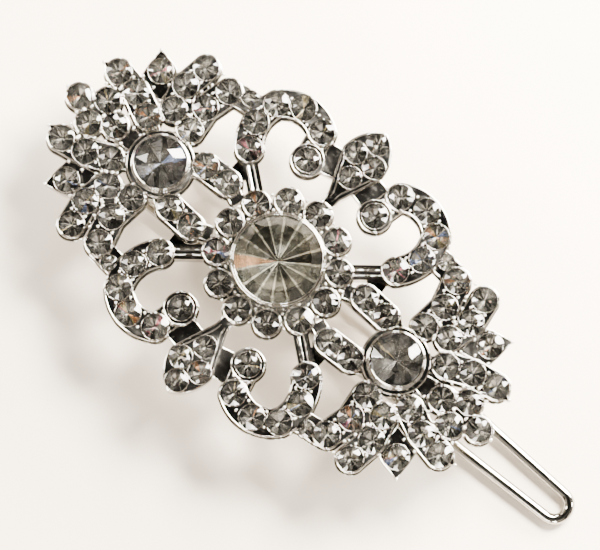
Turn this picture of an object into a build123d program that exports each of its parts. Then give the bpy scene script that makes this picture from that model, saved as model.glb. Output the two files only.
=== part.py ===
from build123d import *
import math
import os

# Rhinestone hair clip: a flat ornament of soldered castings set with round stones,
# and a wire loop hinged to its back that holds the hair.
# Frame: origin at the middle of the flat back, +X along the ornament towards the
# free end of the loop, +Z out of the back through the stones. Millimetres.

# ---- pattern ---------------------------------------------------------------
# Places in the pattern are counted in squares. Three squares hold a small stone and
# the room beside it, and the pattern can be stretched along and across.
stretch_long = 1.0
stretch_wide = 1.0
stone_room = 0.1
leaf_room = 0.2             # the leaves have squares of their own, for their own stones
end_circle = 3.35           # squares that the pattern leaves free around an end flower

# ---- stones ----------------------------------------------------------------
small_stone = 2.9           # ring, scrolls, bars and fans
leaf_stone = 2.6
neck_stone = 1.9
end_stone = 6.0
center_stone = 10.0
crown_share = 0.155         # heights of the cut, as shares of a stone's diameter
girdle_share = 0.04
cone_share = 0.36
table_share = 0.56
tip_share = 0.14
girdle_proud = 0.05         # how far a stone's girdle stands above its rim
seat_gap = 0.03             # radial room around a stone in its seat

# ---- castings --------------------------------------------------------------
casting_height = 2.3        # back to the rims of the upper layer
web_height = 1.85           # back to the metal between the cups
low_height = 1.75           # the lower petals
foot_height = 0.8           # a slightly wider foot runs round each casting
foot_flare = 0.16
cup_wall = 0.14             # rim around a small stone
curl_wall = 0.42            # heavier rim at the end of each scroll

# ---- central flower --------------------------------------------------------
ring_count = 12
ring_gap = 0.25             # between the central bezel and the ring's stones
center_rim = 0.27
center_step = 0.15
center_floor = 0.45         # metal under the stone's point
center_step_down = 0.9

# ---- end flowers -----------------------------------------------------------
end_rim = 0.12
end_step = 0.2
end_floor = 1.05
end_step_down = 0.4
hub_wall = 0.55             # casting around the end bezel

# ---- stems -----------------------------------------------------------------
stem_width = 1.75
stem_height = 2.1
stem_groove = 0.62          # radius of the hollow along the stem

# ---- loop and its hinge ----------------------------------------------------
wire = 1.3
hair_gap = 4.4              # clear height between the back and the wire at the hinge
loop_beyond = 12.7          # how far the loop passes the end petal
leg_spread = 7.7            # between the legs' middles at the hinge
leg_taper = 1.98            # degrees that each leg leans in
wire_bend = 1.0             # bend at the hinge, to the wire's middle
wire_end_y = 0.9            # the wire's ends stop this far from the middle
pin_gap = 0.05              # radial running clearance of the wire in its holes
hinge_behind = 1.85         # hinge line past the end flower's middle
bracket_sheet = 0.8
bracket_inside = 4.0        # between the ears
bracket_front = 3.5         # base of the bracket, each way from the hinge line
ear_top = 5.0
ear_foot = 3.0
ear_below = 1.4             # hinge line to the foot of the ears
ear_corner = 0.8
spring_sheet = 0.3
spring_width = 3.4
spring_gap = 0.05
rest_from_end = 6.3         # rest behind the other end flower's middle
rest_sheet = 0.8
rest_base = 3.6
rest_width = 6.6
rest_gap = 0.1              # room left between the wire and its notch
rest_window = 2.6

square_long = stretch_long * (small_stone + stone_room) / 3
square_wide = stretch_wide * (small_stone + stone_room) / 3
leaf_square = (leaf_stone + leaf_room) / 2.8
center_bore = center_stone / 2 + seat_gap + center_rim + center_step
end_bore = end_stone / 2 + seat_gap + end_rim + end_step
ring_radius = center_bore + ring_gap + small_stone / 2
ring_web_radius = ring_radius - 0.25
end_x = 17.65 * square_long
end_free = end_circle * min(square_long, square_wide)
end_growth = max(end_bore, end_free) - end_free
hinge_x = -(end_x + hinge_behind)
hinge_z = -(hair_gap + wire / 2)
floor_z = hinge_z - ear_below
petal_tip_x = 31.7 * square_long + end_growth
loop_length = petal_tip_x + loop_beyond - wire / 2 - hinge_x
loop_lean = math.degrees(math.asin((hinge_z - floor_z - wire / 2) / loop_length))


# ---- shared shapes ---------------------------------------------------------
def at(x, y):
    """A place in the pattern, counted in squares, as millimetres."""
    return (x * square_long, y * square_wide)


def around_end(x, y):
    """A place in the pattern that gives way as a larger end bezel needs its room."""
    place = at(x, y)
    dx, dy = place[0] - end_x, place[1]
    share = end_growth / math.hypot(dx, dy)
    return (place[0] + share * dx, place[1] + share * dy)


def in_bar(x, y):
    """A place in a bar, which gives way as a whole with its stone by the end flower."""
    place, plain, moved = at(x, y), at(13.5, 3.15), around_end(13.5, 3.15)
    return (place[0] + moved[0] - plain[0], place[1] + moved[1] - plain[1])


def by_ring(turn, beyond):
    """A place this far outside the ring of stones, at this many degrees."""
    angle = math.radians(turn)
    return ((ring_radius + beyond) * math.cos(angle), (ring_radius + beyond) * math.sin(angle))


def in_leaf(x, y):
    """A place in the upper leaf, counted in its own squares from its foot."""
    return (x * leaf_square * stretch_long,
            ring_radius + 1.25 + y * leaf_square * stretch_wide)


def disc(place, radius):
    return Pos(*place) * Circle(radius)


def band(start, end, width):
    """A straight strip with square ends, from the middle of one end to the other."""
    dx, dy = end[0] - start[0], end[1] - start[1]
    middle = ((start[0] + end[0]) / 2, (start[1] + end[1]) / 2)
    strip = Rectangle(math.hypot(dx, dy), width)
    strip = Pos(*middle) * Rot(0, 0, math.degrees(math.atan2(dy, dx))) * strip
    return strip


def chain(places, width):
    """Round cups joined by strips, all of one width."""
    outline = disc(places[0], width / 2)
    for start, end in zip(places, places[1:]):
        outline += band(start, end, width - 0.06) + disc(end, width / 2)
    return outline


def curved(start, middle, end, width):
    """A strip of even width along the arc through three places."""
    return trace(ThreePointArc(start, middle, end), line_width=width)


def shield(*corners):
    """A closed outline with straight sides through these places."""
    return make_face(Polyline(*corners, close=True))


def slab(outline, low, high):
    return extrude(Pos(0, 0, low) * outline, amount=high - low)


def cup_radius(stone):
    return stone / 2 + seat_gap + cup_wall


def stone_solid(diameter):
    """A round stone, its girdle's upper edge at zero: table, crown, girdle and cone."""
    half = diameter / 2
    crown = crown_share * diameter
    girdle = girdle_share * diameter
    cone = cone_share * diameter
    table = table_share * half
    tip = tip_share * half
    outline = Polyline(
        (0, crown), (table, crown), (half, 0), (half, -girdle),
        (tip, -girdle - cone), (0, -girdle - cone), close=True)
    return revolve(Plane.XZ * make_face(outline), Axis.Z)


def stone_depth(diameter):
    """How far a stone's point lies below its rim."""
    return (girdle_share + cone_share) * diameter - girdle_proud


def set_stones(places, diameter, rim):
    """Stones at these places, seated in rims of this height."""
    stone = stone_solid(diameter)
    return [Pos(x, y, rim + girdle_proud) * stone for x, y in places]


center_bezel_height = stone_depth(center_stone) + center_floor
center_step_height = center_bezel_height - center_step_down
end_bezel_height = stone_depth(end_stone) + end_floor
end_step_height = end_bezel_height - end_step_down


def seats(places, diameter, rim):
    """Round pockets under stones; each stone stands on the floor of its own."""
    depth = stone_depth(diameter)
    pocket = Cylinder(diameter / 2 + seat_gap, depth + 1.0,
                      align=(Align.CENTER, Align.CENTER, Align.MIN))
    return [Pos(x, y, rim - depth) * pocket for x, y in places]


def casting(outlines, top, web_top):
    """Cups of full height, lower metal between them, and one wider foot.

    outlines gives the two outlines, grown outward by a given amount."""
    cups, webs = outlines(0)
    wide_cups, wide_webs = outlines(foot_flare)
    solid = slab(cups, 0, top) + slab(webs + cups, 0, web_top)
    return solid + slab(wide_webs + wide_cups, 0, foot_height)


def corner(solid, side_x, side_y):
    """A copy of a piece of the upper right quarter in any quarter."""
    if side_x < 0:
        solid = mirror(solid, about=Plane.YZ)
    if side_y < 0:
        solid = mirror(solid, about=Plane.XZ)
    return solid


def both(places):
    """Places in the upper half and their mirror images in the lower half."""
    return places + [(x, -y) for x, y in places]


def save(name, *solids):
    """Write one node: a single piece, or a group of separate like pieces."""
    shape = solids[0] if len(solids) == 1 else Compound(children=list(solids))
    export_step(shape, f"parts/{name}.step")


# ---- places of the stones --------------------------------------------------
ring_places = [
    (ring_radius * math.cos(math.tau * n / ring_count),
     ring_radius * math.sin(math.tau * n / ring_count))
    for n in range(ring_count)]
bar_places = [in_bar(10.35, 3.3), in_bar(13.5, 3.15)]
scroll_places = [at(11.0, 7.95), at(12.45, 10.85), at(12.0, 14.0), at(9.25, 15.6), at(5.9, 14.85)]
curl_place = at(5.05, 11.25)
leaf_places = [in_leaf(0, 4.45), in_leaf(1.4, 7.1), in_leaf(-1.4, 7.1), in_leaf(0, 9.5)]
inner_petal = [around_end(17.6, 5.2), around_end(17.95, 8.35), around_end(17.1, 11.55)]
blunt_petal = [around_end(20.6, 5.85), around_end(21.4, 8.85), around_end(20.9, 11.95)]
low_petal = [around_end(24.75, 8.35)]
long_petal = [around_end(22.4, 3.25), around_end(25.25, 4.55), around_end(28.3, 5.1)]
end_petal = [around_end(24.5, 0), around_end(27.1, 1.72), around_end(27.1, -1.72),
             around_end(29.9, 0)]
# the neck's stone sits against the last cup of the inner petal
neck_from_petal = cup_radius(small_stone) + neck_stone / 2
neck_place = (inner_petal[2][0] - 0.913 * neck_from_petal,
              inner_petal[2][1] + 0.408 * neck_from_petal)


# ---- central flower --------------------------------------------------------
def bezel(stone, rim, step, height, step_height):
    """A turned cup with an outer step, bored for its stone."""
    rim_radius = stone / 2 + seat_gap + rim
    outer = slab(Circle(rim_radius + step), 0, step_height)
    cup = outer + slab(Circle(rim_radius), 0, height)
    return cup - seats([(0, 0)], stone, height)[0]


def rosette_outlines(grow):
    cups = disc(ring_places[0], cup_radius(small_stone) + grow)
    for place in ring_places[1:]:
        cups += disc(place, cup_radius(small_stone) + grow)
    return cups, Circle(ring_web_radius + grow)


def rosette_blank():
    solid = casting(rosette_outlines, casting_height, web_height)
    return solid - slab(Circle(center_bore), -1, casting_height + 1)


# ---- fans ------------------------------------------------------------------
def fan_outlines(grow):
    width = 2 * (cup_radius(small_stone) + grow)
    hub = (end_x, 0)
    cups = disc(hub, end_bore + hub_wall)
    webs = disc(hub, end_bore + hub_wall + grow)
    for side in (1, -1):
        for petal in (inner_petal, blunt_petal, long_petal):
            cups += chain([(x, side * y) for x, y in petal], width)
        cups += shield(around_end(27.6, side * 6.5), around_end(30.4, side * 4.85),
                       around_end(28.9, side * 3.8))
        long_x, long_y = long_petal[0]
        inner_x, inner_y = inner_petal[0]
        webs += band(hub, (long_x, side * long_y), 1.9 + 2 * grow)
        webs += band(hub, (inner_x, side * inner_y), 1.6)
        webs += shield(around_end(18.4, side * 4.9), around_end(20.6, side * 5.4),
                       around_end(20.9, side * 10.4), around_end(18.3, side * 10.4))
    for place in end_petal:
        cups += disc(place, width / 2)
    cups += shield(end_petal[0], end_petal[1], end_petal[3], end_petal[2])
    cups += shield(around_end(30.7, 1.3), (petal_tip_x, 0), around_end(30.7, -1.3))
    webs += shield(at(20.4, 0.8), around_end(24.3, 1.62), around_end(24.3, -1.62), at(20.4, -0.8))
    return cups, webs


def fan_blank():
    """The right-hand fan: nine petals in two layers around the end flower's hub."""
    solid = casting(fan_outlines, casting_height, web_height)
    for side in (1, -1):
        petal = shield(around_end(22.6, side * 5.6), around_end(26.05, side * 6.3),
                       around_end(26.3, side * 8.1), around_end(26.35, side * 10.3),
                       around_end(24.2, side * 9.95), around_end(22.6, side * 9.4))
        solid += slab(petal, 0, low_height)
    return solid - slab(disc((end_x, 0), end_bore), -1, casting_height + 1)


# ---- scrolls, stems, bars and leaves (upper right ones) --------------------
def scroll_outlines(grow):
    radius = cup_radius(small_stone) + grow
    cups = curved(*scroll_places[:3], 2 * radius - 0.06) + curved(*scroll_places[2:], 2 * radius - 0.06)
    for place in scroll_places:
        cups += disc(place, radius)
    cups += disc(curl_place, small_stone / 2 + seat_gap + curl_wall + grow)
    webs = band(scroll_places[-1], curl_place, 2.9 + 2 * grow)
    neck_end = (neck_place[0] + 2.05, neck_place[1] - 0.7)
    webs += band(at(12.5, 12.4), neck_end, 2.7 + 2 * grow)
    return cups, webs


def scroll_blank():
    """The curl: five cups in a row, a heavier cup at its end, and the neck to the fan."""
    return casting(scroll_outlines, casting_height, web_height)


def bar_outlines(grow):
    cups = chain(bar_places, 2 * (cup_radius(small_stone) + grow))
    webs = band(by_ring(16.9, 1.1), bar_places[0], 1.7 + 2 * grow)
    webs += shield(in_bar(13.4, 1.6), in_bar(14.5, 0.8), at(15.8, 1.6), at(15.6, 3.6),
                   in_bar(14.3, 4.45))
    return cups, webs


def bar_blank():
    return casting(bar_outlines, casting_height, web_height)


def stem_blank():
    """A bare channel with two rails, and the small low web beside it."""
    start, end = by_ring(31.8, 0.73), at(10.5, 7.25)
    body = slab(band(start, end, stem_width), 0, stem_height)
    run = math.hypot(end[0] - start[0], end[1] - start[1])
    turn = math.degrees(math.atan2(end[1] - start[1], end[0] - start[0]))
    groove = Rot(0, 90, 0) * Cylinder(stem_groove, run + 1)
    middle = ((start[0] + end[0]) / 2, (start[1] + end[1]) / 2, stem_height + 0.1)
    body -= Pos(*middle) * Rot(0, 0, turn) * groove
    web = shield((middle[0] + 0.3, middle[1] - 0.5), (end[0] + 0.7, end[1] - 0.65),
                 at(11.3, 4.6), at(9.6, 4.6))
    return body + slab(web, 0, 1.2)


def leaf_blank():
    """The upper leaf: pointed, with a narrow foot and a low web to each scroll."""
    side = [Line(in_leaf(0.62, 0), in_leaf(0.75, 1.6)),
            Line(in_leaf(0.75, 1.6), in_leaf(2.85, 6.8)),
            ThreePointArc(in_leaf(2.85, 6.8), in_leaf(2.12, 9.2), in_leaf(0, 11.05))]
    sides = Curve() + side + [mirror(edge, about=Plane.YZ) for edge in side]
    sides += Line(in_leaf(-0.62, 0), in_leaf(0.62, 0))
    leaf = make_face(sides)
    solid = slab(leaf, 0, casting_height)
    for hand in (1, -1):
        web = shield(in_leaf(0, 3.54), at(hand * 4.3, 10.9), at(hand * 4.6, 14.6),
                     in_leaf(0, 6.89))
        solid += slab(web, 0, low_height)
    return solid


# ---- hinge, loop, spring and rest ------------------------------------------
def wire_loop():
    """A U of round wire whose ends turn in to be the hinge pins."""
    half = leg_spread / 2
    lean = math.radians(leg_taper)
    slope = math.tan(lean)
    tip_radius = (half - slope * loop_length) * math.cos(lean) / (1 - math.sin(lean))
    tip_x = loop_length - tip_radius
    touch = (tip_x + tip_radius * math.sin(lean), tip_radius * math.cos(lean))
    # the bend at the hinge touches the pin line and the leg
    quarter = math.pi / 2 - lean
    cut = wire_bend * math.tan(quarter / 2)
    knee = (0, half)
    pin = Line((0, wire_end_y), (0, half - cut))
    leg_start = (knee[0] + cut * math.cos(lean), knee[1] - cut * math.sin(lean))
    bend = TangentArc(pin @ 1, leg_start, tangent=(0, 1))
    leg = Line(leg_start, touch)
    side = [pin, bend, leg]
    tip = ThreePointArc(touch, (tip_x + tip_radius, 0), (touch[0], -touch[1]))
    pieces = side + [tip] + [mirror(piece, about=Plane.XZ) for piece in side]
    path = Wire([edge for piece in pieces for edge in piece.edges()])
    section = Plane(origin=pin @ 0, z_dir=(0, 1, 0)) * Circle(wire / 2)
    loop = sweep(section, path=path)
    return Pos(hinge_x, 0, hinge_z) * Rot(0, loop_lean, 0) * loop


def hinge_bracket():
    """A folded sheet: a base soldered to the back and two drilled ears."""
    outside = bracket_inside + 2 * bracket_sheet
    base = Box(2 * bracket_front, outside, bracket_sheet,
               align=(Align.CENTER, Align.CENTER, Align.MAX))
    ear = make_face(Polyline(
        (-ear_top / 2, -bracket_sheet), (ear_top / 2, -bracket_sheet),
        (ear_foot / 2, floor_z), (-ear_foot / 2, floor_z), close=True))
    ear = fillet(ear.vertices().sort_by(Axis.Y)[:2], ear_corner)
    ear -= Pos(0, hinge_z) * Circle(wire / 2 + pin_gap)
    ear = extrude(Plane.XZ * ear, amount=bracket_sheet)
    bracket = base + Pos(0, -bracket_inside / 2, 0) * ear
    bracket += Pos(0, outside / 2, 0) * ear
    return Pos(hinge_x, 0, 0) * bracket


def hinge_spring():
    """A leaf spring under the base that bears on the wire's turned-in ends."""
    under = -bracket_sheet - spring_sheet / 2
    bearing = hinge_z + wire / 2 + spring_gap + spring_sheet / 2
    path = FilletPolyline(
        (3.1, under), (-2.7, under), (-1.6, bearing), (1.6, bearing), (2.3, bearing + 0.7),
        radius=0.5)
    strip = trace(path, line_width=spring_sheet)
    strip = extrude(Plane.XZ * strip, amount=spring_width / 2, both=True)
    return Pos(hinge_x, 0, 0) * strip


def loop_rest():
    """A folded sheet that the legs of the closed loop nest against."""
    x = end_x + rest_from_end
    along = x - hinge_x
    leg_y = leg_spread / 2 - math.tan(math.radians(leg_taper)) * along
    leg_z = hinge_z - along * math.tan(math.radians(loop_lean))
    base = Pos(x + rest_sheet / 2, 0, 0) * Box(
        rest_base, rest_width - 1.2, rest_sheet, align=(Align.MAX, Align.CENTER, Align.MAX))
    upright = Pos(x, 0, leg_z) * Box(
        rest_sheet, rest_width, -leg_z, align=(Align.CENTER, Align.CENTER, Align.MIN))
    notch = Rot(0, 90, 0) * Cylinder(wire / 2 + rest_gap, 4 * rest_sheet)
    for side in (1, -1):
        upright -= Pos(x, side * leg_y, leg_z) * notch
    window = Box(2 * rest_sheet, rest_window, 2.2)
    upright -= Pos(x, 0, leg_z / 2) * window
    return base + upright


# ---- build -----------------------------------------------------------------
def main():
    os.makedirs("parts", exist_ok=True)

    rosette = rosette_blank()
    fan = fan_blank()
    end_cup = Pos(end_x, 0, 0) * bezel(end_stone, end_rim, end_step, end_bezel_height, end_step_height)
    end_plug = slab(disc((end_x, 0), end_bore), 0, end_step_height)
    scroll = scroll_blank() - fan
    bar = bar_blank() - rosette - fan - end_plug
    stem = stem_blank() - rosette - scroll - bar
    leaf = leaf_blank() - rosette - scroll - corner(scroll, -1, 1)

    # seats are cut last, so that neighbours are cut to plain outlines
    scroll_cut = seats(scroll_places + [curl_place], small_stone, casting_height)
    scroll_cut += seats([neck_place], neck_stone, web_height)
    fan_upper = both(inner_petal + blunt_petal + long_petal) + end_petal
    fan_cut = seats(fan_upper, small_stone, casting_height)
    fan_cut += seats(both(low_petal), small_stone, low_height)
    fan_cut += seats(both(bar_places), small_stone, casting_height)

    save("center_bezel", bezel(center_stone, center_rim, center_step,
                               center_bezel_height, center_step_height))
    save("center_stone", *set_stones([(0, 0)], center_stone, center_bezel_height))
    save("flower_ring", rosette - seats(ring_places, small_stone, casting_height))
    save("flower_ring_stones", *set_stones(ring_places, small_stone, casting_height))

    fan = fan - fan_cut
    fan_stones = set_stones(fan_upper, small_stone, casting_height)
    fan_stones += set_stones(both(low_petal), small_stone, low_height)
    for side_x, hand in ((1, "right"), (-1, "left")):
        save(f"fan_{hand}", corner(fan, side_x, 1))
        save(f"fan_stones_{hand}", *[corner(stone, side_x, 1) for stone in fan_stones])
        save(f"end_bezel_{hand}", corner(end_cup, side_x, 1))
        stone = set_stones([(side_x * end_x, 0)], end_stone, end_bezel_height)
        save(f"end_stone_{hand}", *stone)

    scroll = scroll - scroll_cut
    scroll_stones = set_stones(scroll_places + [curl_place], small_stone, casting_height)
    scroll_stones += set_stones([neck_place], neck_stone, web_height)
    bar = bar - seats(bar_places, small_stone, casting_height)
    bar_stones = set_stones(bar_places, small_stone, casting_height)
    leaf = leaf - seats(leaf_places, leaf_stone, casting_height)
    leaf_stones = set_stones(leaf_places, leaf_stone, casting_height)
    for side_y, row in ((1, "upper"), (-1, "lower")):
        for side_x, hand in ((1, "right"), (-1, "left")):
            save(f"scroll_{row}_{hand}", corner(scroll, side_x, side_y))
            save(f"scroll_stones_{row}_{hand}",
                 *[corner(stone, side_x, side_y) for stone in scroll_stones])
            save(f"bar_{row}_{hand}", corner(bar, side_x, side_y))
            save(f"bar_stones_{row}_{hand}",
                 *[corner(stone, side_x, side_y) for stone in bar_stones])
            save(f"stem_{row}_{hand}", corner(stem, side_x, side_y))
        save(f"leaf_{row}", corner(leaf, 1, side_y))
        save(f"leaf_stones_{row}", *[corner(stone, 1, side_y) for stone in leaf_stones])

    save("hinge_bracket", hinge_bracket())
    save("hinge_spring", hinge_spring())
    save("loop_rest", loop_rest())
    save("wire_loop", wire_loop())


main()
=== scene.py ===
import bpy
import bmesh
import math
import random
from mathutils import Matrix, Vector


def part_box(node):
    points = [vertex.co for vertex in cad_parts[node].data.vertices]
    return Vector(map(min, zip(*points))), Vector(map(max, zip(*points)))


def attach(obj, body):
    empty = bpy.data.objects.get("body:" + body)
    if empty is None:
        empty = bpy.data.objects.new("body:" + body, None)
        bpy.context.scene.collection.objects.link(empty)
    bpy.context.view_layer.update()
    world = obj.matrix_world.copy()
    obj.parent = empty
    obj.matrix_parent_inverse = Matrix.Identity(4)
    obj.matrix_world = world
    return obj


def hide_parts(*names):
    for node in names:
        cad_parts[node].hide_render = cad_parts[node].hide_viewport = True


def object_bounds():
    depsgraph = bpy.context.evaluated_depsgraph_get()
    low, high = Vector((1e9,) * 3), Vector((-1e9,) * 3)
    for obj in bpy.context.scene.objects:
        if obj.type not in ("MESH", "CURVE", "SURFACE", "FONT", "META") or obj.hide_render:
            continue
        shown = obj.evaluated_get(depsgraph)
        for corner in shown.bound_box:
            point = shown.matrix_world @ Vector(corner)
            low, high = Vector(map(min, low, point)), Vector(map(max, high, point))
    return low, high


# Rhinestone hair clip: polished castings, cut glass stones on foil and a sprung wire loop.
# Metres; the part lies in its own frame, stones up (+Z), the loop's free end towards +X.

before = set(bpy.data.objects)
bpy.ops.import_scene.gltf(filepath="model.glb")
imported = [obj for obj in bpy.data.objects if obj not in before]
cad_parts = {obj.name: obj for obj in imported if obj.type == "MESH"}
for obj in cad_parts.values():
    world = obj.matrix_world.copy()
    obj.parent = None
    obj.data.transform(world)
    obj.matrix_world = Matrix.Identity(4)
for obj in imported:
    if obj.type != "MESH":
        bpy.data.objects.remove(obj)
cad_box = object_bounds()

MM = 0.001
BODY = "ornament"
CASTING_KINDS = ("bar", "fan", "flower", "leaf", "scroll", "stem")
rng = random.Random(7)


# ---- node helpers ----------------------------------------------------------
def add_node(tree, kind, **values):
    """A node with its plain properties and input values set by name."""
    node = tree.nodes.new(kind)
    for key, value in values.items():
        if key.startswith("in_"):
            node.inputs[key[3:].replace("_", " ")].default_value = value
        else:
            setattr(node, key, value)
    return node


def link(tree, source, target):
    tree.links.new(source, target)


def blank_material(name):
    material = bpy.data.materials.new(name)
    material.use_nodes = True
    tree = material.node_tree
    tree.nodes.clear()
    shader = tree.nodes.new("ShaderNodeBsdfPrincipled")
    output = tree.nodes.new("ShaderNodeOutputMaterial")
    link(tree, shader.outputs["BSDF"], output.inputs["Surface"])
    return material, tree, shader


# ---- shared effect: metal with painted shade in its recesses ---------------
def painted_shade_metal_group():
    """Tone, roughness and height of polished metal; its tone is darkened by painted shade in its low
    recesses.
    """
    group = bpy.data.node_groups.new("painted_shade_metal", "ShaderNodeTree")
    face = group.interface
    for name, kind, value in (
            ("Tint", "NodeSocketColor", (0.8, 0.8, 0.8, 1)),
            ("Painted Shade Tint", "NodeSocketColor", (0.3, 0.3, 0.3, 1)),
            ("Recess Low", "NodeSocketFloat", 0.0),
            ("Recess High", "NodeSocketFloat", 0.002),
            ("Smooth", "NodeSocketFloat", 0.08),
            ("Dull", "NodeSocketFloat", 0.25),
            ("Grain", "NodeSocketFloat", 900.0),
            ("Stretch", "NodeSocketVector", (1, 1, 1))):
        socket = face.new_socket(name, in_out="INPUT", socket_type=kind)
        socket.default_value = value
    face.new_socket("Color", in_out="OUTPUT", socket_type="NodeSocketColor")
    face.new_socket("Roughness", in_out="OUTPUT", socket_type="NodeSocketFloat")
    face.new_socket("Height", in_out="OUTPUT", socket_type="NodeSocketFloat")
    entry = group.nodes.new("NodeGroupInput")
    leave = group.nodes.new("NodeGroupOutput")
    place = group.nodes.new("ShaderNodeTexCoord")
    stretch = add_node(group, "ShaderNodeVectorMath", operation="MULTIPLY")
    link(group, place.outputs["Object"], stretch.inputs[0])
    link(group, entry.outputs["Stretch"], stretch.inputs[1])

    ripple = add_node(group, "ShaderNodeTexNoise", in_Detail=1.0, in_Roughness=0.5)
    link(group, stretch.outputs["Vector"], ripple.inputs["Vector"])
    link(group, entry.outputs["Grain"], ripple.inputs["Scale"])

    broad = add_node(group, "ShaderNodeTexNoise", in_Scale=260.0, in_Detail=2.0)
    link(group, place.outputs["Object"], broad.inputs["Vector"])
    patch = add_node(group, "ShaderNodeMapRange", in_From_Min=0.42, in_From_Max=0.68)
    link(group, broad.outputs["Fac"], patch.inputs["Value"])
    rough = add_node(group, "ShaderNodeMapRange")
    link(group, patch.outputs["Result"], rough.inputs["Value"])
    link(group, entry.outputs["Smooth"], rough.inputs["To Min"])
    link(group, entry.outputs["Dull"], rough.inputs["To Max"])
    link(group, rough.outputs["Result"], leave.inputs["Roughness"])

    split = group.nodes.new("ShaderNodeSeparateXYZ")
    link(group, place.outputs["Object"], split.inputs["Vector"])
    # painted shade: below Recess Low the metal takes the darker shade tint, above Recess High its
    # own tint
    shade_mask = group.nodes.new("ShaderNodeMapRange")
    link(group, split.outputs["Z"], shade_mask.inputs["Value"])
    link(group, entry.outputs["Recess Low"], shade_mask.inputs["From Min"])
    link(group, entry.outputs["Recess High"], shade_mask.inputs["From Max"])
    tone = add_node(group, "ShaderNodeMix", data_type="RGBA")
    link(group, shade_mask.outputs["Result"], tone.inputs["Factor"])
    link(group, entry.outputs["Painted Shade Tint"], tone.inputs["A"])
    link(group, entry.outputs["Tint"], tone.inputs["B"])
    link(group, tone.outputs["Result"], leave.inputs["Color"])
    link(group, ripple.outputs["Fac"], leave.inputs["Height"])
    return group


PAINTED_SHADE_METAL = painted_shade_metal_group()


def metal(name, tint, painted_shade, painted_shade_span, smooth, dull, grain, stretch, bump):
    """Polished or brushed metal from the shared effect, with painted shade in its low recesses."""
    material, tree, shader = blank_material(name)
    shader.inputs["Metallic"].default_value = 1.0
    effect = add_node(tree, "ShaderNodeGroup", node_tree=PAINTED_SHADE_METAL)
    effect.inputs["Tint"].default_value = (*tint, 1)
    effect.inputs["Painted Shade Tint"].default_value = (*painted_shade, 1)
    effect.inputs["Recess Low"].default_value = painted_shade_span[0]
    effect.inputs["Recess High"].default_value = painted_shade_span[1]
    effect.inputs["Smooth"].default_value = smooth
    effect.inputs["Dull"].default_value = dull
    effect.inputs["Grain"].default_value = grain
    effect.inputs["Stretch"].default_value = stretch
    raise_ = add_node(tree, "ShaderNodeBump", in_Strength=1.0, in_Distance=bump)
    link(tree, effect.outputs["Color"], shader.inputs["Base Color"])
    link(tree, effect.outputs["Roughness"], shader.inputs["Roughness"])
    link(tree, effect.outputs["Height"], raise_.inputs["Height"])
    link(tree, raise_.outputs["Normal"], shader.inputs["Normal"])
    return material


# the second colour and the heights after it set the painted shade in each metal's recesses; the wire
# and the sheet repeat their own colour there, so they carry none
CASTING = metal("plated_casting", (0.72, 0.70, 0.66), (0.36, 0.35, 0.32), (0.6 * MM, 2.2 * MM),
                0.07, 0.20, 800.0, (1, 1, 1), 0.16 * MM)
RAIL = metal("polished_rail", (0.80, 0.77, 0.72), (0.30, 0.29, 0.26), (0.3 * MM, 1.9 * MM),
             0.05, 0.14, 1500.0, (1, 1, 1), 0.03 * MM)
CHANNEL = metal("plated_channel", (0.84, 0.81, 0.76), (0.26, 0.25, 0.23), (1.3 * MM, 2.0 * MM),
                0.06, 0.15, 900.0, (1, 1, 1), 0.08 * MM)
BEZEL = metal("turned_bezel", (0.88, 0.87, 0.83), (0.42, 0.41, 0.39), (0.4 * MM, 2.6 * MM),
              0.06, 0.13, 1200.0, (1, 1, 1), 0.005 * MM)
WIRE = metal("spring_wire", (0.46, 0.44, 0.40), (0.46, 0.44, 0.40), (-8 * MM, -7 * MM),
             0.08, 0.17, 900.0, (0.4, 1, 1), 0.006 * MM)
SHEET = metal("stamped_sheet", (0.74, 0.73, 0.70), (0.74, 0.73, 0.70), (-8 * MM, -7 * MM),
              0.20, 0.34, 4200.0, (0.06, 1, 1), 0.006 * MM)


# ---- stones: glass crown over a foiled cone --------------------------------
def crystal(name, tint, ior):
    """Clear cut glass with a faint film in places."""
    material, tree, shader = blank_material(name)
    shader.inputs["Base Color"].default_value = (*tint, 1)
    shader.inputs["Transmission Weight"].default_value = 1.0
    shader.inputs["IOR"].default_value = ior
    place = tree.nodes.new("ShaderNodeTexCoord")
    smudge = add_node(tree, "ShaderNodeTexNoise", in_Scale=420.0, in_Detail=2.0)
    film = add_node(tree, "ShaderNodeMapRange", in_From_Min=0.5, in_From_Max=0.8,
                    in_To_Min=0.0, in_To_Max=0.03)
    link(tree, place.outputs["Object"], smudge.inputs["Vector"])
    link(tree, smudge.outputs["Fac"], film.inputs["Value"])
    link(tree, film.outputs["Result"], shader.inputs["Roughness"])
    return material


def foil(name, grain, smooth, dull):
    """The mirror backing, its colour set facet by facet to painted reflections: dark and middling
    wedges, bright slivers, a few coloured flashes.
    """
    material, tree, shader = blank_material(name)
    shader.inputs["Metallic"].default_value = 1.0
    # painted reflection: the foil's colour comes from the painted facet layer
    tone = add_node(tree, "ShaderNodeVertexColor", layer_name="painted_facet_light")
    link(tree, tone.outputs["Color"], shader.inputs["Base Color"])
    place = tree.nodes.new("ShaderNodeTexCoord")
    speck = add_node(tree, "ShaderNodeTexNoise", in_Scale=grain, in_Detail=2.0)
    rough = add_node(tree, "ShaderNodeMapRange", in_From_Min=0.4, in_From_Max=0.8,
                     in_To_Min=smooth, in_To_Max=dull)
    link(tree, place.outputs["Object"], speck.inputs["Vector"])
    link(tree, speck.outputs["Fac"], rough.inputs["Value"])
    link(tree, rough.outputs["Result"], shader.inputs["Roughness"])
    return material


CRYSTAL = crystal("crystal", (1.0, 1.0, 1.0), 1.56)
LARGE_CRYSTAL = crystal("large_crystal", (0.985, 0.985, 0.94), 1.54)
FOIL = foil("stone_foil", 900.0, 0.12, 0.24)
LARGE_FOIL = foil("large_stone_foil", 700.0, 0.22, 0.34)

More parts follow.
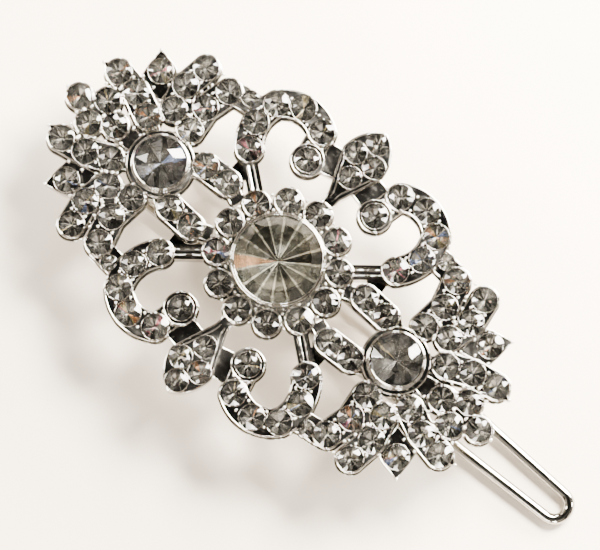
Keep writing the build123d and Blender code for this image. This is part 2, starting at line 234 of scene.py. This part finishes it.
# rings of a cut: corners, radius and height as shares of the diameter, turn in corners;
# two rings below the girdle, a little turned apart, make wide wedges and slivers by turns
GIRDLE = -0.04
CULET = 0.002
SMALL_CUT = ((8, 0.28, 0.150, 0.5), (16, 0.5, 0.0, 0.0),
             (9, 0.5, GIRDLE, 0.0), (9, 0.5, GIRDLE, 0.20), (3, CULET, -0.37, 0.0))
END_CUT = ((8, 0.27, 0.150, 0.5), (16, 0.5, 0.0, 0.0),
           (10, 0.5, GIRDLE, 0.0), (10, 0.5, GIRDLE, 0.20), (3, CULET, -0.36, 0.0))
CENTER_CUT = ((16, 0.38, 0.112, 0.5), (32, 0.5, 0.0, 0.0),
              (16, 0.5, GIRDLE, 0.0), (16, 0.5, GIRDLE, 0.18), (3, CULET, -0.36, 0.0))
CROWN_FROM = 0.01           # edges that rise above this share of the diameter are polished



def master_stone(cut, polish=0.0):
    """A faceted stone one metre across, its girdle's upper edge at zero; polish rounds the crown."""
    bm = bmesh.new()
    for corners, radius, height, turn in cut:
        placed = (Matrix.Translation((0, 0, height))
                  @ Matrix.Rotation(turn * math.tau / corners, 4, "Z"))
        bmesh.ops.create_circle(bm, cap_ends=False, segments=corners, radius=radius, matrix=placed)
    bmesh.ops.delete(bm, geom=bm.edges[:], context="EDGES_FACES")
    bmesh.ops.convex_hull(bm, input=bm.verts[:])
    bmesh.ops.dissolve_limit(bm, angle_limit=math.radians(0.5), verts=bm.verts[:], edges=bm.edges[:])
    bmesh.ops.recalc_face_normals(bm, faces=bm.faces[:])
    if polish:
        crown = [e for e in bm.edges if max(v.co.z for v in e.verts) > CROWN_FROM]
        bmesh.ops.bevel(bm, geom=crown, offset=polish, offset_type="OFFSET", segments=1,
                        profile=0.5, affect="EDGES", clamp_overlap=True, material=-1)
    return as_mesh(bm, "stone_master")


def as_mesh(bm, name):
    mesh = bpy.data.meshes.new(name)
    bm.to_mesh(mesh)
    bm.free()
    return mesh


WELD = 0.008 * MM           # corners this near to each other become one
SLIVER = 0.002 * MM         # edges shorter than this are dropped


def merged(node):
    """The CAD node's own shape with its loose triangles joined."""
    bm = bmesh.new()
    bm.from_mesh(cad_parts[node].data)
    bmesh.ops.remove_doubles(bm, verts=bm.verts[:], dist=WELD)
    bmesh.ops.dissolve_degenerate(bm, edges=bm.edges[:], dist=SLIVER)
    return bm


def stones_in(node):
    """Centre, girdle height and radius of each separate stone of a CAD node."""
    bm = bmesh.new()
    bm.from_mesh(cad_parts[node].data)
    bmesh.ops.remove_doubles(bm, verts=bm.verts[:], dist=1e-7)
    left = set(bm.verts)
    found = []
    while left:
        group, edge = set(), [left.pop()]
        while edge:
            vert = edge.pop()
            group.add(vert)
            for other in (e.other_vert(vert) for e in vert.link_edges):
                if other in left:
                    left.discard(other)
                    edge.append(other)
        xs, ys = [v.co.x for v in group], [v.co.y for v in group]
        center = Vector(((min(xs) + max(xs)) / 2, (min(ys) + max(ys)) / 2, 0))
        radius = (max(xs) - min(xs)) / 2
        outer = [v.co.z for v in group if (v.co.xy - center.xy).length > 0.98 * radius]
        found.append((Vector((center.x, center.y, max(outer))), radius))
    bm.free()
    found.sort(key=lambda s: (round(s[0].x, 5), round(s[0].y, 5)))
    return found


def finish_piece(name, mesh, materials, replaced=(), body=BODY):
    for material in materials:
        mesh.materials.append(material)
    piece = bpy.data.objects.new(name, mesh)
    bpy.context.collection.objects.link(piece)
    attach(piece, body)
    if replaced:
        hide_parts(*replaced)
    return piece


# painted reflections of the foil: coloured flashes of fire, bright slivers and darker or middling
# wedges
PAINTED_FIRE = ((1.0, 0.40, 0.50), (1.0, 0.58, 0.34), (0.50, 0.62, 1.0), (1.0, 0.88, 0.55))
PAINTED_SLIVER_TONES = (1.0, 1.0, 0.9, 0.7)
PAINTED_WEDGE_TONES = (0.16, 0.20, 0.26, 0.34, 0.46, 0.62, 0.9)
SLIVER_SHARE = 0.8          # facets smaller than this share of the mean facet are slivers


def painted_facet_light(thin, fire, cast, shade):
    """Painted reflection for the foil of one facet: a dark or middling wedge of painted shade or a
    bright sliver of painted highlight, at times a painted coloured flash of fire.
    """
    if rng.random() < fire:
        return rng.choice(PAINTED_FIRE)
    grey = rng.choice(PAINTED_SLIVER_TONES if thin else PAINTED_WEDGE_TONES)
    return [grey * c * (1.0 if thin else shade) for c in cast]


def set_stones(node, master, finish, lean, fire, cast=(1.0, 0.98, 0.92), shade=1.0,
               fit=1.025, turn=None):
    """Faceted stones in place of the plain ones of a CAD node, each turned its own way.

    lean and turn are angles, fire the share of facets with a painted coloured flash, cast and shade
    the tint of the foil's painted reflections and how light its painted wedges are, and fit the size
    against the plain stone.
    """
    bm = bmesh.new()
    count = len(master.vertices)
    face_count = len(master.polygons)
    layer = bm.loops.layers.float_color.new("painted_facet_light")
    for center, radius in stones_in(node):
        bm.from_mesh(master)
        bm.verts.ensure_lookup_table()
        bm.faces.ensure_lookup_table()
        spin = rng.uniform(0, math.tau) if turn is None else turn
        tilt = Matrix.Rotation(rng.uniform(-lean, lean), 4, "X")
        tilt = tilt @ Matrix.Rotation(rng.uniform(-lean, lean), 4, "Y")
        place = (Matrix.Translation(center) @ tilt @ Matrix.Rotation(spin, 4, "Z")
                 @ Matrix.Scale(2 * radius * fit, 4))
        bmesh.ops.transform(bm, matrix=place, verts=bm.verts[-count:])
        faces = bm.faces[-face_count:]
        below = [f for f in faces if f.normal.z < 0 and f.calc_center_median().z < center.z]
        middle = sum(f.calc_area() for f in below) / max(1, len(below))
        for face in faces:
            face.smooth = False
            under = face.calc_center_median().z < center.z - 1e-6
            face.material_index = 1 if under else 0
            # painted reflection: each facet's foil colour is a painted wedge of shade, a painted
            # bright sliver or a painted flash of fire
            tone = painted_facet_light(face.calc_area() < SLIVER_SHARE * middle, fire, cast, shade)
            for loop in face.loops:
                loop[layer] = (*tone, 1)
    return finish_piece("cut_" + node, as_mesh(bm, "cut_" + node), finish, (node,))


STONE_LEAN = math.radians(4.0)
small_master = master_stone(SMALL_CUT)
stone_nodes = sorted(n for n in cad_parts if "stones" in n)
for node in stone_nodes:
    set_stones(node, small_master, (CRYSTAL, FOIL), lean=STONE_LEAN, fire=0.035)
set_stones("center_stone", master_stone(CENTER_CUT), (LARGE_CRYSTAL, LARGE_FOIL),
           lean=0.0, fire=0.02, cast=(1.0, 0.99, 0.87), shade=0.27, fit=1.01, turn=0.12)
for node, turn in (("end_stone_right", 0.2), ("end_stone_left", 0.5)):
    set_stones(node, master_stone(END_CUT, polish=0.008), (CRYSTAL, LARGE_FOIL),
               lean=0.02, fire=0.05, shade=0.48, fit=0.995, turn=turn)


# ---- castings: smooth walls, seat rims, grip beads and rails ---------------
def polished_copy(node, name, material, body=BODY, sharp=40):
    """The CAD node's own shape with smooth curves and crisp edges."""
    bm = merged(node)
    for face in bm.faces:
        face.smooth = True
    for edge in bm.edges:
        edge.smooth = len(edge.link_faces) == 2 and edge.calc_face_angle() < math.radians(sharp)
    return finish_piece(name, as_mesh(bm, name), (material,), (node,), body)


def spun_ring(radius, tube, sides, steps):
    """A flat ring of round section, spun from the section."""
    bm = bmesh.new()
    place = Matrix.Translation((radius, 0, 0)) @ Matrix.Rotation(math.pi / 2, 4, "X")
    bmesh.ops.create_circle(bm, cap_ends=False, segments=sides, radius=tube, matrix=place)
    bmesh.ops.spin(bm, geom=bm.verts[:] + bm.edges[:], cent=(0, 0, 0), axis=(0, 0, 1),
                   angle=math.tau, steps=steps, use_merge=True)
    bmesh.ops.recalc_face_normals(bm, faces=bm.faces[:])
    return as_mesh(bm, "ring_master")


def bead():
    bm = bmesh.new()
    bmesh.ops.create_uvsphere(bm, u_segments=8, v_segments=6, radius=1.0)
    return as_mesh(bm, "bead_master")


def place_copies(name, copies, material):
    """One piece from many placed copies of small master meshes."""
    bm = bmesh.new()
    for master, place in copies:
        count = len(master.vertices)
        bm.from_mesh(master)
        bm.verts.ensure_lookup_table()
        bmesh.ops.transform(bm, matrix=place, verts=bm.verts[-count:])
    for face in bm.faces:
        face.smooth = True
    return finish_piece(name, as_mesh(bm, name), (material,))


def seat_edges(stones, spot, room):
    """True where a spot lies on the edge of a stone's seat."""
    return any((spot.xy - center.xy).length < radius + room for center, radius in stones)


POINT_ANGLE = math.radians(55)   # a rail that turns more than this has a grip point
POINT_LEVEL = 1.7 * MM           # points lower than this get no bead
POINT_BEAD = 0.26 * MM
SHORTEST_RAIL = 0.35 * MM
RAIL_TUBE = 0.085 * MM
LEAF_TUBE = 0.12 * MM
FOOT_TUBE = 0.10 * MM
RAIL_ROOM = 0.12 * MM            # rails keep this far from a stone


def rail_piece(name, runs, tube):
    """Round wire along runs of points, each given with whether it closes on itself."""
    line = bpy.data.curves.new(name, "CURVE")
    line.dimensions = "3D"
    line.bevel_depth = tube
    line.bevel_resolution = 1
    line.use_fill_caps = True
    for run, closed in runs:
        spline = line.splines.new("POLY")
        spline.points.add(len(run) - 1)
        for point, co in zip(spline.points, run):
            point.co = (*co, 1)
        spline.use_cyclic_u = closed
    holder = bpy.data.objects.new("rail_line", line)
    mesh = bpy.data.meshes.new_from_object(holder)
    bpy.data.objects.remove(holder)
    for polygon in mesh.polygons:
        polygon.use_smooth = True
    mesh.materials.clear()
    mesh.name = name
    return finish_piece(name, mesh, (RAIL,))


TOP_FACE = 0.93             # least upward part of a top face's normal
SIDE_FACE = 0.4             # greatest upward part of a wall's normal


def outline_runs(node, stones, room):
    """The top edges of a casting, left off around stone seats, as runs and their sharp points."""
    bm = merged(node)
    runs, points = [], []
    steps = {}
    for edge in bm.edges:
        if len(edge.link_faces) != 2:
            continue
        flat = sorted(edge.link_faces, key=lambda f: f.normal.z)
        middle = (edge.verts[0].co + edge.verts[1].co) / 2
        if (flat[1].normal.z > TOP_FACE and abs(flat[0].normal.z) < SIDE_FACE and edge.is_convex
                and not seat_edges(stones, middle, room)):
            for vert in edge.verts:
                steps.setdefault(vert, []).append(edge)
    used = set()
    starts = sorted(steps, key=lambda v: (len(steps[v]) == 2, v.index))
    for start in starts:
        for first in steps[start]:
            if first in used:
                continue
            run, vert, edge = [start.co.copy()], start, first
            while edge is not None:
                used.add(edge)
                vert = edge.other_vert(vert)
                run.append(vert.co.copy())
                edge = next((e for e in steps[vert] if e not in used), None)
            closed = (run[0] - run[-1]).length < 1e-7
            if closed:
                run.pop()
            if sum((a - b).length for a, b in zip(run, run[1:])) < SHORTEST_RAIL:
                continue
            runs.append((run, closed))
            ring = [run[-1]] + run + [run[0]] if closed else run
            for before, here, after in zip(ring, ring[1:], ring[2:]):
                if (here - before).angle(after - here, 0.0) > POINT_ANGLE:
                    points.append(here)
    bm.free()
    return runs, points


grip = bead()
casting_nodes = [n for n in sorted(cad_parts)
                 if n.split("_")[0] in CASTING_KINDS and "stones" not in n]
every_stone = [s for node in stone_nodes for s in stones_in(node)]
for node in casting_nodes:
    kind = node.split("_")[0]
    polished_copy(node, "polished_" + node, CHANNEL if kind == "stem" else CASTING)
    if kind == "stem":
        continue
    runs, points = outline_runs(node, every_stone, RAIL_ROOM)
    rail_piece("rails_" + node, runs, LEAF_TUBE if kind == "leaf" else RAIL_TUBE)
    points = [p for p in points if p.z > POINT_LEVEL]
    if points and kind in ("fan", "leaf"):
        place_copies("points_" + node, [(grip, Matrix.Translation(p) @ Matrix.Scale(POINT_BEAD, 4))
                                        for p in points], RAIL)

# each leaf has a second, inner rail along both sides of its foot
LEAF_FOOT = ((0.30, 9.75), (0.42, 10.6), (2.25, 14.7))   # millimetres across and along
for node, up in (("leaf_upper", 1), ("leaf_lower", -1)):
    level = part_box(node)[1][2]
    runs = [([Vector((side * x * MM, up * y * MM, level)) for x, y in LEAF_FOOT], False)
            for side in (-1, 1)]
    rail_piece("foot_rails_" + node, runs, FOOT_TUBE)

# each bezel has a lip around its stone and one along its outer edge
for bezel in ("center_bezel", "end_bezel_right", "end_bezel_left"):
    polished_copy(bezel, "polished_" + bezel, BEZEL)
    center, radius = stones_in(bezel.replace("bezel", "stone"))[0]
    low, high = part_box(bezel)
    outer = (high[0] - low[0]) / 2
    lips = []
    for reach, thick, level in ((radius + 0.13 * MM, 0.10 * MM, center.z + 0.02 * MM),
                                (outer - 0.09 * MM, 0.09 * MM, high[2] - 0.05 * MM)):
        ring = spun_ring(reach, thick, 6, 72)
        lips.append((ring, Matrix.Translation((center.x, center.y, level))))
    place_copies("lips_" + bezel, lips, RAIL)

# each small stone's seat: a thin rim, and beads between stones that sit close together
SEAT_LIFT = 0.05 * MM
SEAT_ROOM = 0.07 * MM
SEAT_BEAD = 0.21 * MM
CLOSE_STONES = 1.2 * MM          # widest gap between stones that share beads
BEAD_ASIDE = 0.62                # how far a bead stands aside, in stone radii
rim = spun_ring(1.0, 0.03, 4, 16)
for node in stone_nodes:
    stones = stones_in(node)
    copies = []
    for center, radius in stones:
        place = Matrix.Translation(center + Vector((0, 0, SEAT_LIFT)))
        copies.append((rim, place @ Matrix.Scale(radius + SEAT_ROOM, 4)))
    for i, (center, radius) in enumerate(stones):
        for other, _ in stones[i + 1:]:
            gap = other - center
            if gap.length < 2 * radius + CLOSE_STONES and "leaf" not in node:
                across = Vector((-gap.y, gap.x, 0)).normalized()
                for side in (-1, 1):
                    spot = (center + other) / 2 + across * side * BEAD_ASIDE * radius
                    copies.append((grip, Matrix.Translation(spot) @ Matrix.Scale(SEAT_BEAD, 4)))
    place_copies("seats_" + node, copies, RAIL)

polished_copy("wire_loop", "polished_wire_loop", WIRE, "loop")
polished_copy("hinge_bracket", "brushed_hinge_bracket", SHEET)
polished_copy("hinge_spring", "brushed_hinge_spring", SHEET)
polished_copy("loop_rest", "brushed_loop_rest", SHEET)


# ---- floor, lights and camera ----------------------------------------------
def floor_material():
    """Warm pale matte, clear from underneath so that the back of the part can be seen."""
    material, tree, shader = blank_material("pale_floor")
    output = tree.nodes["Material Output"]
    geometry = tree.nodes.new("ShaderNodeNewGeometry")
    clear = tree.nodes.new("ShaderNodeBsdfTransparent")
    sides = tree.nodes.new("ShaderNodeMixShader")
    link(tree, geometry.outputs["Backfacing"], sides.inputs["Fac"])
    link(tree, shader.outputs["BSDF"], sides.inputs[1])
    link(tree, clear.outputs["BSDF"], sides.inputs[2])
    link(tree, sides.outputs["Shader"], output.inputs["Surface"])
    place = tree.nodes.new("ShaderNodeTexCoord")
    fibre = add_node(tree, "ShaderNodeTexNoise", in_Scale=60.0, in_Detail=4.0)
    ramp = tree.nodes.new("ShaderNodeValToRGB")
    ramp.color_ramp.elements[0].color = (0.86, 0.76, 0.64, 1)
    ramp.color_ramp.elements[1].color = (0.90, 0.81, 0.70, 1)
    link(tree, place.outputs["Object"], fibre.inputs["Vector"])
    link(tree, fibre.outputs["Fac"], ramp.inputs["Fac"])
    link(tree, ramp.outputs["Color"], shader.inputs["Base Color"])
    shader.inputs["Roughness"].default_value = 0.85
    return material


FLOOR_BELOW = 0.1 * MM
floor_bm = bmesh.new()
bmesh.ops.create_grid(floor_bm, x_segments=2, y_segments=2, size=2.0)
bmesh.ops.translate(floor_bm, verts=floor_bm.verts[:], vec=(0, 0, cad_box[0][2] - FLOOR_BELOW))
floor_mesh = as_mesh(floor_bm, "floor")
floor_mesh.materials.append(floor_material())
floor = bpy.data.objects.new("floor", floor_mesh)
bpy.context.collection.objects.link(floor)


def softbox(name, direction, distance, size, energy, color):
    """A rectangular light that faces the middle of the part."""
    lamp = bpy.data.lights.new(name, "AREA")
    lamp.shape = "RECTANGLE"
    lamp.size, lamp.size_y = size
    lamp.energy = energy
    lamp.color = color
    holder = bpy.data.objects.new(name, lamp)
    aim = Vector(direction).normalized()
    holder.location = aim * distance
    holder.rotation_euler = aim.to_track_quat("Z", "Y").to_euler()
    bpy.context.collection.objects.link(holder)


LAMP_REACH = 0.45
WARM = (1.0, 0.93, 0.83)
softbox("key_light", (0.08, 0.70, 0.71), 0.21, (0.12, 0.065), 5.0, (1.0, 0.93, 0.82))
softbox("window_light", (0.25, 0.90, 0.36), LAMP_REACH, (0.22, 0.10), 13.0, (1.0, 0.95, 0.87))
softbox("side_light", (-0.80, -0.25, 0.55), LAMP_REACH, (0.08, 0.20), 2.0, WARM)
softbox("low_light", (0.35, -0.85, 0.40), LAMP_REACH, (0.16, 0.05), 1.4, WARM)
for number, around in enumerate((128, 40, 205, 320)):
    direction = (math.cos(math.radians(around)), math.sin(math.radians(around)), 0.47)
    softbox("spark_light_%d" % (number + 1), direction, LAMP_REACH, (0.07, 0.05), 1.6,
            (1.0, 0.96, 0.90))

world = bpy.data.worlds.new("studio")
bpy.context.scene.world = world
world.use_nodes = True
sky = world.node_tree
sky.nodes.clear()
sky_place = sky.nodes.new("ShaderNodeTexCoord")
sky_split = sky.nodes.new("ShaderNodeSeparateXYZ")
sky_ramp = sky.nodes.new("ShaderNodeValToRGB")
sky_panels = add_node(sky, "ShaderNodeTexNoise", in_Scale=2.6, in_Detail=1.5, in_Roughness=0.6)
sky_flags = add_node(sky, "ShaderNodeMapRange", in_From_Min=0.47, in_From_Max=0.58,
                     in_To_Min=0.08, in_To_Max=1.0)
sky_mix = add_node(sky, "ShaderNodeMix", data_type="RGBA", blend_type="MULTIPLY", in_Factor=1.0)
sky_back = sky.nodes.new("ShaderNodeBackground")
sky_out = sky.nodes.new("ShaderNodeOutputWorld")
link(sky, sky_place.outputs["Generated"], sky_split.inputs["Vector"])
link(sky, sky_place.outputs["Generated"], sky_panels.inputs["Vector"])
link(sky, sky_split.outputs["Z"], sky_ramp.inputs["Fac"])
link(sky, sky_panels.outputs["Fac"], sky_flags.inputs["Value"])
link(sky, sky_ramp.outputs["Color"], sky_mix.inputs["A"])
link(sky, sky_flags.outputs["Result"], sky_mix.inputs["B"])
link(sky, sky_mix.outputs["Result"], sky_back.inputs["Color"])
link(sky, sky_back.outputs["Background"], sky_out.inputs["Surface"])
tones = sky_ramp.color_ramp
tones.elements[0].position, tones.elements[0].color = 0.0, (1.0, 0.87, 0.71, 1)
tones.elements[1].position, tones.elements[1].color = 0.6, (1.0, 0.88, 0.74, 1)
for position, level in ((0.76, 0.7), (0.90, 0.14), (1.0, 0.10)):
    tones.elements.new(position).color = (level, level * 0.92, level * 0.80, 1)
sky_back.inputs["Strength"].default_value = 1.25

# the part is seen from above, a little from its -Y side, its long axis falling to the right
VIEW_TILT, VIEW_ROLL, VIEW_TURN = math.radians(8.5), math.radians(-1.05), math.radians(40.12)
VIEW_DISTANCE = 400 * MM
VIEW_ASIDE = (-2.57 * MM, 1.16 * MM)
lens = bpy.data.cameras.new("camera")
lens.sensor_width = 36.0
lens.lens = 208.4
lens.clip_start = 0.01
camera = bpy.data.objects.new("camera", lens)
turn = (Matrix.Rotation(VIEW_TURN, 4, "Z") @ Matrix.Rotation(VIEW_ROLL, 4, "Y")
        @ Matrix.Rotation(VIEW_TILT, 4, "X"))
camera.matrix_world = turn @ Matrix.Translation((-VIEW_ASIDE[0], -VIEW_ASIDE[1], VIEW_DISTANCE))
bpy.context.collection.objects.link(camera)
bpy.context.scene.camera = camera
